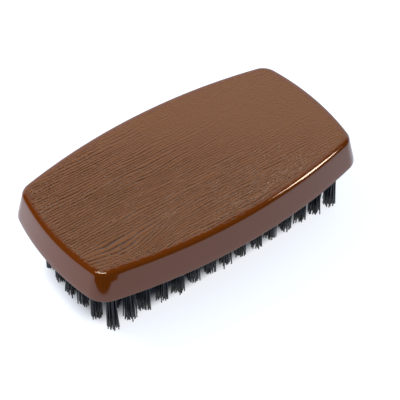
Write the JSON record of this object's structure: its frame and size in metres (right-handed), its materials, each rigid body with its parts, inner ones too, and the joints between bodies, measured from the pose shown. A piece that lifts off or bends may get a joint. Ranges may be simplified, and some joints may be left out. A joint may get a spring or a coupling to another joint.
{
  "type": "beard brush",
  "caption": "Palm-held beard brush: a flat oblong back with rounded corners over a plate tufted with short stiff bristles.",
  "frame": {"origin": "under the middle of the brush, on the plane of the bristle tips where it stands", "axes": "+X along the brush's length, +Y across it, +Z out of its flat back"},
  "size_m": [0.1198, 0.0682, 0.0332],
  "materials": {
    "moulded_back": "moulded brown plastic, embossed wood grain on the top, gloss rim and wall",
    "tufted_plate": "satin moulded brown plastic",
    "bristle_nylon": "black nylon filament, slight sheen",
    "anchor_wire": "flat drawn steel wire, cut ends"
  },
  "bodies": {
    "root": {"back_shell": "moulded_back", "bristle_plate": "tufted_plate", "tuft_row_01": "bristle_nylon", "tuft_row_02": "bristle_nylon", "tuft_row_03": "bristle_nylon", "tuft_row_04": "bristle_nylon", "tuft_row_05": "bristle_nylon", "tuft_row_06": "bristle_nylon", "tuft_row_07": "bristle_nylon", "tuft_row_08": "bristle_nylon", "tuft_row_09": "bristle_nylon", "tuft_row_10": "bristle_nylon", "tuft_row_11": "bristle_nylon", "tuft_row_12": "bristle_nylon", "tuft_row_13": "bristle_nylon", "tuft_row_14": "bristle_nylon", "tuft_row_15": "bristle_nylon", "anchor_row_01": "anchor_wire", "anchor_row_02": "anchor_wire", "anchor_row_03": "anchor_wire", "anchor_row_04": "anchor_wire", "anchor_row_05": "anchor_wire", "anchor_row_06": "anchor_wire", "anchor_row_07": "anchor_wire", "anchor_row_08": "anchor_wire", "anchor_row_09": "anchor_wire", "anchor_row_10": "anchor_wire", "anchor_row_11": "anchor_wire", "anchor_row_12": "anchor_wire", "anchor_row_13": "anchor_wire", "anchor_row_14": "anchor_wire", "anchor_row_15": "anchor_wire"}
  },
  "joints": []
}
